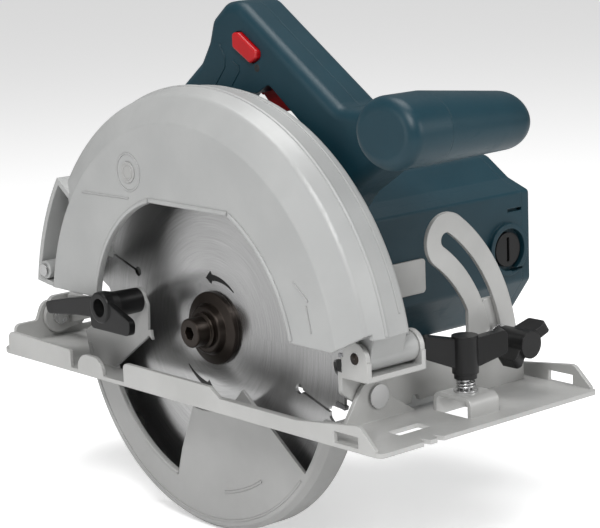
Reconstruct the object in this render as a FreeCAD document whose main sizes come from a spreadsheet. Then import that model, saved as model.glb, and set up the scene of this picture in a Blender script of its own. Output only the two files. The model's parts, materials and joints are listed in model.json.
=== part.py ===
import FreeCAD, Part
import math
import os
from types import SimpleNamespace

# A hand-held circular saw with a tilting base. Frame, in millimetres: z = 0 is the
# underside of the base plate, x = 0 the middle of the blade, y = 0 the blade's axis.
# The cut runs towards -Y, the motor lies on the +X side of the blade.

os.makedirs("parts", exist_ok=True)
doc = FreeCAD.newDocument("saw")
V = FreeCAD.Vector

# ---------------------------------------------------------------- driving sizes
SIZES = {
    # base plate
    "base_left": -27.5, "base_right": 109.5, "base_front": -140, "base_rear": 148,
    "base_sheet": 2, "flange_height": 12, "rail_height": 11.5, "low_flange": 7,
    "opening_left": -12.6, "opening_right": 27, "opening_front": -94, "opening_rear": 97,
    "fence_line": -119, "fence_slot_width": 15, "fence_slot_height": 5, "fence_screw_x": 45,
    # bevel pivot and quadrant
    "bevel_x": 8.5, "bevel_z": 13, "ear_front": -101, "quadrant_radius": 90,
    "bevel_slot_radius": 77, "bevel_start": 9, "bevel_travel": 45, "bevel_slot_width": 7,
    "bracket_sheet": 2.5, "bracket_gap": 0.4,
    # depth hinge and guide arm
    "hinge_y": -107, "hinge_z": 34.3, "hinge_pin_radius": 3, "arm_radius": 156.3,
    "arm_start": 5.4, "depth_travel": 32, "arm_left": 12.6, "arm_sheet": 2,
    "channel_left": -10.3, "channel_right": 24.7, "channel_sheet": 2.5,
    # blade and its clamp
    "spindle_z": 30, "blade_radius": 92.5, "blade_teeth": 24, "blade_body": 1.6,
    "blade_kerf": 2.4, "bore_radius": 10, "flange_radius": 17.5,
    # guards
    "guard_y": -5, "guard_z": 23, "guard_radius": 122, "guard_face": -23.3,
    "guard_back": 12.2, "guard_wall": 2.5, "guard_bottom": 39.5,
    "lower_radius": 95.5, "lower_left": -11, "lower_right": 4.2, "lower_wall": 1.6,
    "hub_right": 9.2,
    "nose_radius": 21, "knob_y": 47, "knob_z": 38.5,
    # gears and motor
    "gear_module": 0.9, "gear_teeth": 48, "pinion_teeth": 12, "armature_y": -14,
    "case_end": 46, "motor_end": 153, "brush_x": 137,
    # handles
    "handle_left": 17.6, "handle_right": 45.4, "aux_y": -123, "aux_z": 132,
    "aux_left": -5.5, "aux_right": 73.5, "aux_cap": 18,
}
sheet = doc.addObject("Spreadsheet::Sheet", "Sizes")
for row, (name, value) in enumerate(SIZES.items(), start=1):
    sheet.set("A%d" % row, name)
    sheet.set("B%d" % row, str(value))
    sheet.setAlias("B%d" % row, name)
doc.recompute()
s = SimpleNamespace(**{name: float(sheet.get(name)) for name in SIZES})

gear_gap = s.gear_module * (s.gear_teeth + s.pinion_teeth) / 2
armature_z = s.spindle_z + math.sqrt(gear_gap ** 2 - s.armature_y ** 2)
handle_mid = (s.handle_left + s.handle_right) / 2


# ---------------------------------------------------------------- shape helpers
def lift_x(x):
    return lambda u, v: V(x, u, v)


def lift_y(y):
    return lambda u, v: V(u, y, v)


def lift_z(z):
    return lambda u, v: V(u, v, z)


def outline(points, lift):
    """Closed face through points (u, v) or (u, v, corner radius)."""
    count = len(points)
    corners = []
    for i, point in enumerate(points):
        here = V(point[0], point[1], 0)
        radius = point[2] if len(point) > 2 else 0
        if radius == 0:
            corners.append((here, None, here))
            continue
        back = points[i - 1]
        ahead = points[(i + 1) % count]
        one = (V(back[0], back[1], 0) - here).normalize()
        two = (V(ahead[0], ahead[1], 0) - here).normalize()
        half = one.getAngle(two) / 2
        reach = radius / math.tan(half)
        middle = here + (one + two).normalize() * (radius / math.sin(half))
        crown = middle + (here - middle).normalize() * radius
        corners.append((here + one * reach, crown, here + two * reach))
    flat = [tuple(p and lift(p.x, p.y) for p in corner) for corner in corners]
    edges = []
    for i, (start, crown, end) in enumerate(flat):
        if crown:
            edges.append(Part.Arc(start, crown, end).toShape())
        following = flat[(i + 1) % count][0]
        if end.distanceToPoint(following) > 1e-6:
            edges.append(Part.makeLine(end, following))
    return Part.Face(Part.Wire(edges))


def slab_x(points, x0, x1):
    return outline(points, lift_x(x0)).extrude(V(x1 - x0, 0, 0))


def slab_y(points, y0, y1):
    return outline(points, lift_y(y0)).extrude(V(0, y1 - y0, 0))


def slab_z(points, z0, z1):
    return outline(points, lift_z(z0)).extrude(V(0, 0, z1 - z0))


def box(x0, x1, y0, y1, z0, z1):
    return Part.makeBox(x1 - x0, y1 - y0, z1 - z0, V(x0, y0, z0))


def rod_x(radius, x0, x1, y, z):
    return Part.makeCylinder(radius, x1 - x0, V(x0, y, z), V(1, 0, 0))


def rod_y(radius, y0, y1, x, z):
    return Part.makeCylinder(radius, y1 - y0, V(x, y0, z), V(0, 1, 0))


def rod_z(radius, z0, z1, x, y):
    return Part.makeCylinder(radius, z1 - z0, V(x, y, z0), V(0, 0, 1))


def turn_x(points, y, z, start=0, sweep=360):
    """Profile (x, radius) turned about the X line through (y, z), from +Y towards +Z."""
    face = outline([(p[0], p[1] + y) + tuple(p[2:]) for p in points], lift_z(z))
    solid = face.revolve(V(0, y, z), V(1, 0, 0), sweep)
    solid.rotate(V(0, y, z), V(1, 0, 0), start)
    return solid


def sector_x(inner, outer, x0, x1, y, z, start, end):
    corners = [(x0, inner), (x1, inner), (x1, outer), (x0, outer)]
    return turn_x(corners, y, z, start, end - start)


def sector_y(inner, outer, y0, y1, x, z, start, end):
    """Ring piece in the XZ plane, angles from +X towards +Z."""
    a, b = math.radians(start), math.radians(end)
    m = (a + b) / 2

    def at(r, t):
        return V(x + r * math.cos(t), y0, z + r * math.sin(t))

    rim = Part.Arc(at(outer, a), at(outer, m), at(outer, b)).toShape()
    hub = Part.Arc(at(inner, b), at(inner, m), at(inner, a)).toShape()
    sides = [Part.makeLine(at(outer, b), at(inner, b)), Part.makeLine(at(inner, a), at(outer, a))]
    face = Part.Face(Part.Wire([rim, sides[0], hub, sides[1]]))
    return face.extrude(V(0, y1 - y0, 0))


def hull_x(first, second, x0, x1):
    """Two circles (y, z, radius) and the two tangents that join them, as a slab."""
    (ya, za, ra), (yb, zb, rb) = first, second
    gap = math.hypot(yb - ya, zb - za)
    lean = math.atan2(zb - za, yb - ya)
    turn = math.acos((ra - rb) / gap)
    band = [(ya + ra * math.cos(lean + t), za + ra * math.sin(lean + t)) for t in (turn, -turn)]
    far = [(yb + rb * math.cos(lean + t), zb + rb * math.sin(lean + t)) for t in (-turn, turn)]
    body = slab_x(band + far, x0, x1)
    return join(body, rod_x(ra, x0, x1, ya, za), rod_x(rb, x0, x1, yb, zb))


def join(first, *others):
    return first.fuse(list(others)).removeSplitter()


def polar(radius, degrees, y=0.0, z=0.0):
    a = math.radians(degrees)
    return (y + radius * math.cos(a), z + radius * math.sin(a))


def soften(solid, radius, wanted):
    return solid.makeFillet(radius, [e for e in solid.Edges if wanted(e)])


nodes = {}


def keep(node, shape):
    """One document object for a sub-part whose shape is worked out by code."""
    thing = doc.addObject("Part::Feature", node)
    thing.Label = node
    thing.Shape = shape
    nodes[node] = thing
    return thing


def cylinder(name, axis, start, radius, length):
    """A Part::Cylinder whose radius and length follow expressions on the sheet."""
    rod = doc.addObject("Part::Cylinder", name)
    rod.setExpression("Radius", radius)
    rod.setExpression("Height", length)
    rod.Placement = FreeCAD.Placement(V(*start), FreeCAD.Rotation(V(0, 0, 1), V(*axis)))
    return rod


def fused(node, parts):
    thing = doc.addObject("Part::MultiFuse", node)
    thing.Shapes = parts
    thing.Label = node
    nodes[node] = thing
    return thing


# ---------------------------------------------------------------- base
front_corner = 3
rear_corner = 10


def side_flange(x0):
    top, rail, low, sheet_z = s.flange_height, s.rail_height, s.low_flange, s.base_sheet
    rear, front = s.base_rear - rear_corner, s.base_front + front_corner
    profile = [
        (rear, 0), (rear, top, 4), (83, top - 1, 2), (83, sheet_z), (77, sheet_z),
        (77, 10.5, 8), (56, 10.5, 8), (56, sheet_z), (39, sheet_z), (39, rail, 3),
        (-27, rail, 2), (-34, low, 2), (-87, low, 3), (-127, top, 5), (front, 3, 1.5), (front, 0),
    ]
    wall = slab_x(profile, x0, x0 + s.base_sheet)
    half = s.fence_slot_width / 2
    slot = box(x0 - 1, x0 + 3, s.fence_line - half, s.fence_line + half,
               s.base_sheet, s.base_sheet + s.fence_slot_height)
    return wall.cut(slot)


def base_plate():
    left, right, front, rear = s.base_left, s.base_right, s.base_front, s.base_rear
    t = s.base_sheet
    plate = slab_z([(left, front, front_corner), (right, front, front_corner),
                    (right, rear, rear_corner), (left, rear, rear_corner)], 0, t)
    window = slab_z([
        (s.opening_left, s.opening_front, 3), (s.opening_right, s.opening_front, 3),
        (s.opening_right, s.opening_rear, 6), (s.opening_left, s.opening_rear, 6)], -1, t + 1)
    sight = slab_z([(-2, -125, 1), (16.5, -125, 1), (16.5, -117.3, 1), (-2, -117.3, 1)], -1, t + 1)
    plate = plate.cut(window).cut(sight)
    for notch in (0.0, 8.0):
        plate = plate.cut(slab_z([(notch - 2.5, front - 1), (notch + 2.5, front - 1),
                                  (notch, front + 5)], -1, t + 1))
    arch_inner, arch_outer, arch_top = 9.6, 11.6, 9
    y = s.fence_line
    x0, x1 = s.fence_screw_x - 9, s.fence_screw_x + 9
    plate = plate.cut(box(x0, x1, y - arch_inner, y + arch_inner, -1, t + 1))
    hoop = [(y - arch_outer, 0), (y - arch_outer, arch_top + t, 4), (y + arch_outer, arch_top + t, 4),
            (y + arch_outer, 0), (y + arch_inner, 0), (y + arch_inner, arch_top, 2),
            (y - arch_inner, arch_top, 2), (y - arch_inner, 0)]
    arch = slab_x(hoop, x0, x1).cut(rod_z(3.2, arch_top - 1, arch_top + 4, s.fence_screw_x, y))
    ear = slab_y([(-14, 0), (-9, 7, 3), (0, 20, 5), (13, 20, 5), (17, 11, 3), (31, t, 2), (31, 0)],
                 s.ear_front, s.ear_front + t)
    ear = ear.cut(rod_y(4, s.ear_front - 1, s.ear_front + t + 1, s.bevel_x, s.bevel_z))
    back = slab_y([
        (left + rear_corner, 0), (left + rear_corner, s.flange_height, 3), (-4, s.flange_height, 2),
        (0, 21.5, 6), (17, 21.5, 6), (24, 5, 4), (right - rear_corner, 5, 2),
        (right - rear_corner, 0)], rear - t, rear)
    back = back.cut(rod_y(4, rear - t - 1, rear + 1, s.bevel_x, s.bevel_z))
    return join(plate, arch, ear, back, side_flange(left), side_flange(right - t))


def slot_centre(degrees):
    a = math.radians(degrees)
    return (s.bevel_x + s.bevel_slot_radius * math.cos(a),
            s.bevel_z + s.bevel_slot_radius * math.sin(a))


bolt_x, bolt_z = slot_centre(s.bevel_start)


def bevel_quadrant():
    y0, y1 = s.ear_front, s.ear_front + s.base_sheet
    x, z, rim = s.bevel_x, s.bevel_z, s.quadrant_radius
    top = s.bevel_start + s.bevel_travel
    inner = 2 * s.bevel_slot_radius - rim
    band = sector_y(inner, rim, y0, y1, x, z, 2, top)
    nose_x, nose_z = slot_centre(top)
    nose = rod_y(rim - s.bevel_slot_radius, y0, y1, nose_x, nose_z)
    foot = slab_y([(66, s.base_sheet), (102, s.base_sheet), (102, 17, 3), (93, 19), (66, 45)], y0, y1)
    turned_in = box(66, 102, y1, y1 + 12, s.base_sheet, 2 * s.base_sheet)
    half = s.bevel_slot_width / 2
    ends = (s.bevel_start - 1.0, top + 0.6)
    groove = sector_y(s.bevel_slot_radius - half, s.bevel_slot_radius + half, y0 - 1, y1 + 1, x, z, *ends)
    plate = join(band, nose, foot)
    for angle in ends:
        plate = plate.cut(rod_y(half, y0 - 1, y1 + 1, *slot_centre(angle)))
    plate = plate.cut(groove)
    return join(plate, turned_in)


def rivet(y_head, y_tail, x, z):
    """Shouldered rivet: a dome-side head, a shank and a spread tail."""
    step = 1 if y_tail > y_head else -1
    low, high = sorted((y_head, y_tail))
    shank = rod_y(3.9, low, high, x, z)
    head = rod_y(5.5, min(y_head, y_head - step * 1.3), max(y_head, y_head - step * 1.3), x, z)
    tail = rod_y(4.4, min(y_tail, y_tail + step * 1.5), max(y_tail, y_tail + step * 1.5), x, z)
    return join(shank, head, tail)


# ---------------------------------------------------------------- tilting frame
plate_front = s.ear_front + s.base_sheet + s.bracket_gap
plate_back = plate_front + s.bracket_sheet
rear_plate_back = s.base_rear - s.base_sheet - s.bracket_gap
rear_plate_front = rear_plate_back - s.bracket_sheet
channel_front = s.hinge_y - 8
channel_floor = s.hinge_z - 9.8
cheek_radius = 7.4


def front_tilt_bracket():
    """Pivot plate with a U-shaped channel on top, whose two cheeks hold the hinge pin."""
    x, z = s.bevel_x, s.bevel_z
    sheet, left, right = s.channel_sheet, s.channel_left, s.channel_right
    floor_top = channel_floor + sheet
    web = slab_y([
        (x, 4), (62, 6), (94, 13, 6), (95, 34, 8), (86, 44, 2), (79, 44, 2), (74, 33, 6),
        (58, 24, 4), (right, floor_top), (left, floor_top), (left, 17, 3)], plate_front, plate_back)
    web = join(web, rod_y(9, plate_front, plate_back, x, z))
    web = web.cut(rod_y(4, plate_front - 1, plate_back + 1, x, z))
    web = web.cut(rod_y(3.2, plate_front - 1, plate_back + 1, bolt_x, bolt_z))
    notch = slab_y([(30, 2), (31.5, 8, 1), (35, 8, 1), (38, 2)], plate_front - 1, plate_back + 1)
    floor = box(left, right, channel_front, plate_back, channel_floor, floor_top)
    cheeks = []
    for side in (left, right - sheet):
        cheek = join(box(side, side + sheet, channel_front, plate_front, channel_floor, s.hinge_z),
                     rod_x(cheek_radius, side, side + sheet, s.hinge_y, s.hinge_z))
        square = box(side - 1, side + sheet + 1, channel_front - 3, s.hinge_y - cheek_radius,
                     s.hinge_z - 1, s.hinge_z + cheek_radius)
        cheeks.append(cheek.cut(square))
    bracket = join(web.cut(notch), floor, *cheeks)
    return bracket.cut(rod_x(s.hinge_pin_radius, left - 2, right + 2, s.hinge_y, s.hinge_z))


def rear_tilt_bracket():
    x, z = s.bevel_x, s.bevel_z
    right = s.arm_left + s.arm_sheet
    web = join(rod_y(9, rear_plate_front, rear_plate_back, x, z),
               slab_y([(x, 4.5), (24, 7, 3), (24, 24, 4), (3, 24, 4), (x - 8, z)],
                      rear_plate_front, rear_plate_back))
    tab = slab_x([(rear_plate_front, 8), (rear_plate_front, 24), (122, 24, 5), (122, 14, 5)],
                 right, right + s.bracket_sheet)
    return join(web, tab).cut(rod_y(4, rear_plate_front - 1, rear_plate_back + 1, x, z))


def depth_guide_arm():
    x0, x1 = s.arm_left, s.arm_left + s.arm_sheet
    top = s.arm_start + s.depth_travel
    half = 6.5
    band = sector_x(s.arm_radius - half, s.arm_radius + half, x0, x1, s.hinge_y, s.hinge_z, -3, top)
    tip = rod_x(half, x0, x1, *polar(s.arm_radius, top, s.hinge_y, s.hinge_z))
    bar = slab_x([(141, 14.5), (141, 24), (62, 26, 3), (57, 32), (43, 32), (43.5, 14.5, 6)], x0, x1)
    arm = join(band, tip, bar)
    ends = (s.arm_start - 0.6, top)
    groove = sector_x(s.arm_radius - 3.1, s.arm_radius + 3.1, x0 - 1, x1 + 1, s.hinge_y, s.hinge_z, *ends)
    arm = arm.cut(groove)
    for angle in ends:
        arm = arm.cut(rod_x(3.1, x0 - 1, x1 + 1, *polar(s.arm_radius, angle, s.hinge_y, s.hinge_z)))
    return arm


clamp_y, clamp_z = polar(s.arm_radius, s.arm_start, s.hinge_y, s.hinge_z)


def wing_knob(length, barrel, span, tall):
    """Wing knob standing on z = 0 along +Z: a fluted barrel and two blunt wings."""
    body = rod_z(barrel, 0, length, 0, 0)
    base = rod_z(barrel * 0.86, -2.5, 0, 0, 0)
    wing = slab_y([(-span, length - tall, 2), (-span, length + 1.5, 2), (-barrel, length - 1, 2),
                   (barrel, length - 1, 2), (span, length + 1.5, 2), (span, length - tall, 2),
                   (barrel, 3, 1), (-barrel, 3, 1)], -2.6, 2.6)
    knob = join(body, base, wing)
    return knob.cut(rod_z(2.55, -3, length - 2.5, 0, 0))


def placed(shape, origin, z_to, turn=0.0):
    shape = shape.copy()
    shape.rotate(V(0, 0, 0), V(0, 0, 1), turn)
    swing = FreeCAD.Placement(V(*origin), FreeCAD.Rotation(V(0, 0, 1), V(*z_to)))
    shape.transformShape(swing.toMatrix())
    return shape


def coil(radius, wire, height, turns, origin):
    """Round-wire compression spring along +Z from origin."""
    pitch = height / turns
    path = Part.makeHelix(pitch, height, radius)
    start = V(radius, 0, 0)
    ring = Part.Wire(Part.makeCircle(wire, start, V(0, 1, 0)))
    solid = Part.Wire(path.Edges).makePipeShell([ring], True, True)
    solid.translate(V(*origin))
    return solid


# ---------------------------------------------------------------- blade and spindle
gullet_middle = 3.2


def saw_blade():
    half, z = s.blade_body / 2, s.spindle_z
    pitch = 360.0 / s.blade_teeth
    rim, tip = s.blade_radius - 1, s.blade_radius - 0.6
    points = []
    for tooth in range(int(s.blade_teeth)):
        a = tooth * pitch
        points.append(polar(tip, a, 0, z))
        points.append(polar(rim - 9.5, a + 1.2, 0, z) + (2.5,))
        points.append(polar(rim - 7.5, a + 5.2, 0, z) + (2.5,))
        points.append(polar(rim - 1.0, a + 7.0, 0, z) + (1.0,))
    disc = slab_x(points, -half, half)
    disc = disc.cut(rod_x(s.bore_radius, -3, 3, 0, z))
    for arm in range(4):
        a = arm * 90 + pitch + gullet_middle
        hole = rod_x(2.4, -3, 3, *polar(62, a, 0, z))
        slit = slab_x([(60, -0.6), (88, -0.6), (88, 0.6), (60, 0.6)], -3, 3)
        slit.rotate(V(0, 0, 0), V(1, 0, 0), a)
        slit.translate(V(0, 0, z))
        disc = disc.cut(hole).cut(slit)
    return disc.cut(carbide_tips())


def carbide_tips():
    pitch = 360.0 / s.blade_teeth
    half = s.blade_kerf / 2
    tips = []
    for tooth in range(int(s.blade_teeth)):
        chip = box(-half, half, s.blade_radius - 6, s.blade_radius, -1.9, -0.05)
        chip.rotate(V(0, 0, 0), V(1, 0, 0), tooth * pitch)
        chip.translate(V(0, 0, s.spindle_z))
        tips.append(chip)
    return Part.makeCompound(tips)


def inner_flange():
    r, b = s.flange_radius, s.bore_radius - 0.04
    face = s.blade_body / 2 + 0.02
    profile = [(-0.7, 6.02), (4.6, 6.02), (4.6, 14), (3.6, r), (face, r), (face, b), (-0.7, b)]
    return turn_x(profile, 0, s.spindle_z)


def outer_flange():
    r = s.flange_radius
    face = -s.blade_body / 2 - 0.02
    profile = [(face, 4.1), (face, r), (-3.2, r, 0.6), (-4.4, 12.5), (-7.6, 11, 1), (-7.6, 4.1)]
    return turn_x(profile, 0, s.spindle_z)


def blade_bolt():
    z = s.spindle_z
    head = turn_x([(-7.64, 0), (-7.64, 8.5), (-9, 8.5), (-9.4, 7), (-16.5, 7, 0.8), (-16.5, 0)], 0, z)
    shank = rod_x(4, -7.64, 15, 0, z)
    hexagon = [polar(3.46, 60 * i, 0, z) for i in range(6)]
    return join(head, shank).cut(slab_x(hexagon, -18, -11.5))


def spindle():
    z = s.spindle_z
    profile = [(-0.6, 0), (-0.6, 6), (4.64, 6), (4.64, 7.5), (16, 7.5), (16, 8.5), (19.6, 8.5),
               (19.6, 7.5), (33, 7.5), (33, 5), (43, 5), (43, 0)]
    return turn_x(profile, 0, z).cut(rod_x(4.02, -2, 16, 0, z))


def involute_gear(teeth, module, backlash, addendum, x0, x1, y, z, phase):
    """Spur gear with 25 degree involute flanks; phase is the angle of one tooth's middle."""
    pressure = math.radians(25)
    pitch_r = module * teeth / 2
    base_r = pitch_r * math.cos(pressure)
    tip_r = pitch_r + addendum * module
    root_r = pitch_r - 1.2 * module
    half_tooth = math.pi / (2 * teeth) - backlash / (2 * pitch_r)
    involute_at_pitch = math.tan(pressure) - pressure

    def flank(radius):
        roll = math.acos(min(1.0, base_r / radius))
        return half_tooth + involute_at_pitch - (math.tan(roll) - roll)

    low = max(base_r, root_r)
    radii = [low + (tip_r - low) * i / 4 for i in range(5)]
    points = []
    for tooth in range(int(teeth)):
        middle = math.radians(phase) + 2 * math.pi * tooth / teeth
        side = [(r, flank(r)) for r in radii]
        if root_r < base_r:
            side.insert(0, (root_r, side[0][1]))
        for r, a in side:
            points.append(polar(r, math.degrees(middle - a), y, z))
        for r, a in reversed(side):
            points.append(polar(r, math.degrees(middle + a), y, z))
    return slab_x(points, x0, x1)


mesh_angle = math.degrees(math.atan2(armature_z - s.spindle_z, s.armature_y))


def spindle_gear():
    gear = involute_gear(s.gear_teeth, s.gear_module, 0.16, 0.85, 20, 32, 0, s.spindle_z, mesh_angle)
    return gear.cut(rod_x(7.52, 19, 33, 0, s.spindle_z))


def pinion():
    gap_angle = mesh_angle + 180 + 180.0 / s.pinion_teeth
    gear = involute_gear(s.pinion_teeth, s.gear_module, 0.16, 0.9, 19.5, 33, s.armature_y, armature_z,
                         gap_angle)
    return gear.cut(rod_x(3, 19, 34, s.armature_y, armature_z))


# ---------------------------------------------------------------- lower guard
def lower_guard():
    z, r, t = s.spindle_z, s.lower_radius, s.lower_wall
    left, right, hub_right = s.lower_left, s.lower_right, s.hub_right
    rim = turn_x([(left, r - 5), (left, r - 2.5, 1.5), (left + 3, r, 1), (right, r), (right, r - t),
                  (left + t + 2, r - t), (left + t, r - 5)], 0, z, -163, 155)
    near = sector_x(38, r - 4, left, left + t, 0, z, -143, -8)
    y0, z0 = polar(r - 4, -8, 0, z)
    horn = slab_x([(y0, z0), (45, z + 16.5, 5), (39, z + 7, 3), (40, z - 9, 3), (66, z - 27), (84, z - 20)],
                  left, left + t)
    gap = slab_x([(66.8, z - 27.4), (39, z - 8), (6.3, z - 36), (17, z - 60), polar(75, -74, 0, z),
                  polar(75, -60, 0, z), polar(75, -46, 0, z), polar(75, -32, 0, z)], left - 1, left + t + 1)
    bite = sector_x(20, 75, left - 1, left + t + 1, 0, z, -74, -24)
    near = join(near.cut(gap).cut(bite), horn)
    far = sector_x(24, r - 1, right - t, right, 0, z, -150, -8)
    hub = rod_x(27, right - t, hub_right, 0, z)
    lug = slab_x([polar(26, 60, 0, z), polar(26, -60, 0, z), polar(r - 1, -10, 0, z),
                  polar(r - 1, -8.2, 0, z)], right - t, right)
    shell = join(rim, near, far, hub, lug)
    shell = shell.cut(rod_x(s.nose_radius + 0.06, right - t - 1, hub_right + 1, 0, z))
    shell = shell.cut(turn_x([(4.4, 22.4), (hub_right + 1, 22.4), (hub_right + 1, 25.4), (4.4, 25.4)], 0, z))
    return shell.cut(rod_x(2.5, left - 1, left + t + 1, s.knob_y, s.knob_z))


def guard_lever_knob():
    y, z, left = s.knob_y, s.knob_z, s.lower_left
    barrel = turn_x([(left - 0.02, 2.6), (left - 0.02, 6), (-25, 6.4), (-29.5, 7.6), (-34, 7.6, 1), (-34, 4.5),
                     (-27, 4.5), (-27, 2.6)], y, z)
    tail = slab_x([(y, z + 5.5), (y + 26, z + 1, 6), (y + 46, z - 3.5, 2), (y + 46, z - 9.5, 3),
                   (y + 20, z - 6.5, 6), (y, z - 5)], -33, -28)
    heel = slab_x([(y + 9, z - 4, 2), (y + 8, z - 11, 2), (y - 22, z - 11, 3), (y - 23, z - 4, 3),
                   (y - 6, z + 3)], -33, -29.5)
    hollow = rod_x(6, -36, -20, y, z)
    return join(barrel, tail.cut(hollow), heel.cut(hollow))


def lever_screw():
    y, z = s.knob_y, s.knob_z
    return join(rod_x(2.45, s.lower_left - 16.1, s.lower_left + s.lower_wall, y, z),
                turn_x([(-29, 0), (-27.02, 0), (-27.02, 3.8), (-28.4, 3.8, 0.5), (-29, 3)], y, z))


def return_spring():
    wires = []
    for turn in range(3):
        x = 8.2 - 1.3 * turn
        wires.append(turn_x([(x - 0.5, 23.2), (x + 0.5, 23.2), (x + 0.5, 24.4), (x - 0.5, 24.4)],
                            0, s.spindle_z))
    return Part.makeCompound(wires)


# ---------------------------------------------------------------- upper guard
port_start, port_end = 9.5, 35
hinge_notch = -13.9


def upper_guard():
    y, z, r, t = s.guard_y, s.guard_z, s.guard_radius, s.guard_wall
    face, back = s.guard_face, s.guard_back
    shell = turn_x([(face, 0), (face, r - 15.5, 3), (-17, r - 2.5, 3), (-8, r, 4), (7, r - 1.5, 3),
                    (back, r - 7.7), (back, 0)], y, z)
    hollow = turn_x([(face + t, 0), (face + t, r - 17), (-15.6, r - 5), (-7.6, r - t), (6, r - t - 1.5),
                     (back - t, r - t - 7), (back - t, 0)], y, z)
    shell = shell.cut(hollow)
    port = sector_x(r - 15.4, r - 2.4, face - 1, -10, y, z, port_start, port_end)
    shell = shell.cut(port)
    lip = sector_x(r - 2.4, r + 0.2, face + 1.5, -10, y, z, port_start - 1, port_end + 1)
    ends = [sector_x(r - 15.4, r, face + 1.5, -8, y, z, a, a + 1.3) for a in (port_start - 1, port_end)]
    shell = join(shell, lip, *ends)
    low = box(face - 5, back - t - 0.01, -150, 150, -150, s.guard_bottom)
    shell = shell.cut(low)
    wall_low = join(box(back - t - 1, back + 1, -150, -62, -150, s.guard_bottom),
                    box(back - t - 1, back + 1, 62, 150, -150, s.guard_bottom),
                    box(back - t - 1, back + 1, -63, 63, -150, 8))
    shell = shell.cut(wall_low).cut(box(hinge_notch, back + 1, -150, -90, -150, s.hinge_z + 11.2))
    front_rise = slab_x([(-106, 30), (-106, 39), (-111, 41.5), (-124, 49), (-150, 49), (-150, 30)],
                        face - 2, hinge_notch)
    shell = shell.cut(front_rise)
    top_edge = 91
    rear_round = rod_x(63.3, face - 1, face + t + 1, 0, s.spindle_z)
    front_round = rod_x(76.5, face - 1, face + t + 1, y, z)
    front_round = front_round.cut(box(face - 2, face + t + 2, 0, 100, -100, 200))
    window = join(rear_round, front_round)
    window = window.cut(box(face - 2, face + t + 2, -100, 100, top_edge, 200))
    window = window.cut(box(face - 2, face + t + 2, -100, 100, -100, 0))
    shell = shell.cut(window)
    shell = shell.cut(rod_x(s.nose_radius + 0.05, back - t - 1, back + 1, 0, s.spindle_z))
    shell = shell.cut(rod_x(2.5, back - t + 0.8, back + 1, clamp_y, clamp_z))
    for hole_y, hole_z in guard_screw_places():
        shell = shell.cut(rod_x(2.1, back - t - 1, back + 1, hole_y, hole_z))
    shell = shell.cut(rod_x(5, -24.5, -22.6, *badge_place()))
    boss = turn_x([(face + 0.5, 0), (face + 0.5, 4.5), (-10, 4.5), (-10, 0)], 107, 47.5)
    shell = join(shell, boss, hinge_barrel()).cut(rod_x(1.8, face - 1, -14, 107, 47.5))
    return shell.cut(rod_x(s.hinge_pin_radius + 0.05, -20, 40, s.hinge_y, s.hinge_z))


def hinge_barrel():
    """Barrel that turns on the hinge pin between the cheeks, and the root that joins it to the rim."""
    y, z = s.hinge_y, s.hinge_z
    x0 = s.channel_left + s.channel_sheet + 0.4
    x1 = s.channel_right - s.channel_sheet - 0.4
    barrel = rod_x(6.8, x0, x1, y, z)
    root = slab_x([(y - 6.8, z), (y - 10.2, z + 12), (y - 7.5, z + 14), (y + 6.8, z + 12), (y + 6.8, z)],
                  x0, s.guard_back)
    flare = slab_z([(s.guard_back - 1, y - 6.5), (x1, y - 3), (x1, y + 6), (s.guard_back - 1, y + 6)],
                   z, z + 6)
    return join(barrel, root, flare)


def guard_screw_places():
    return [(-30, 66), (-44, 40), (30, 66), (36, 24)]


def badge_place():
    return polar(89, 65.5, s.guard_y, s.guard_z)


# ---------------------------------------------------------------- gear case
def gear_housing():
    z, y2, z2 = s.spindle_z, s.armature_y, armature_z
    back, end = s.guard_back, s.case_end
    body = hull_x((0, z, 26.4), (y2, z2, 34), back + 0.02, end)
    nose = rod_x(s.nose_radius, 5.4, back + 0.02, 0, z)
    pad_points = [(36, 14, 5), (46, 34, 8), (34, 74, 8), (-34, 78, 8), (-52, 52, 8), (-52, 30, 6), (-20, 14, 8)]
    pad = slab_x(pad_points, back + 0.02, back + 6)
    pad = pad.cut(sector_x(s.arm_radius - 9, s.arm_radius + 9, back - 1, back + 7, s.hinge_y, s.hinge_z,
                           -45, 60))
    shoulder = slab_x(motor_outline(0.0), end - 8, end)
    block = slab_x([(-57, 38, 2), (-30, 34), (-30, 66), (-57, 62, 2)], 24, end)
    tongue = case_tongue(0)
    body = join(body, nose, pad, shoulder, block, tongue)
    body = body.cut(rod_x(16.02, 4, 14, 0, z)).cut(rod_x(14, 4, 20, 0, z))
    body = body.cut(rod_x(23.8, 18.5, 33.5, 0, z)).cut(rod_x(8.2, 17, 30, y2, z2))
    body = body.cut(rod_x(9.02, 33, 43.5, 0, z))
    body = body.cut(rod_x(14.02, 35.5, end + 1, y2, z2)).cut(rod_x(8.4, 30, 36, y2, z2))
    body = body.cut(rod_x(5.02, 14.5, 21, y2, z2))
    for hole_y, hole_z in guard_screw_places():
        body = body.cut(rod_x(1.9, back - 1, back + 5, hole_y, hole_z))
    for hole_y, hole_z in motor_screw_places():
        body = body.cut(rod_x(1.9, end - 8, end + 1, hole_y, hole_z))
    return body


def motor_outline(grow):
    """Boxy section of the motor casing, in (y, z), grown outwards by a margin."""
    g = grow
    return [(-58 - g, 36, 4), (-58 - g, 80 + g, 2), (-45, 85 + g, 3), (-31, 94.5 + g, 8), (-14, 98 + g, 12),
            (4, 94.5 + g, 8), (30 + g, 80, 10), (30 + g, 36, 8), (18, 14 - g, 10), (-42, 14 - g, 8)]


def motor_screw_places():
    return [(-52, 72), (-52, 36), (24, 72), (22, 34)]


def case_tongue(grow):
    """Flat tongue of the gear case that lies in a pocket on the front of the motor casing."""
    g = grow
    return slab_y([(s.case_end - 4, 41.5 - g), (80 + g, 41.5 - g, 2), (80 + g, 58 + g, 2),
                   (s.case_end - 4, 58 + g)], -59.4 - g, -53 + g)


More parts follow.
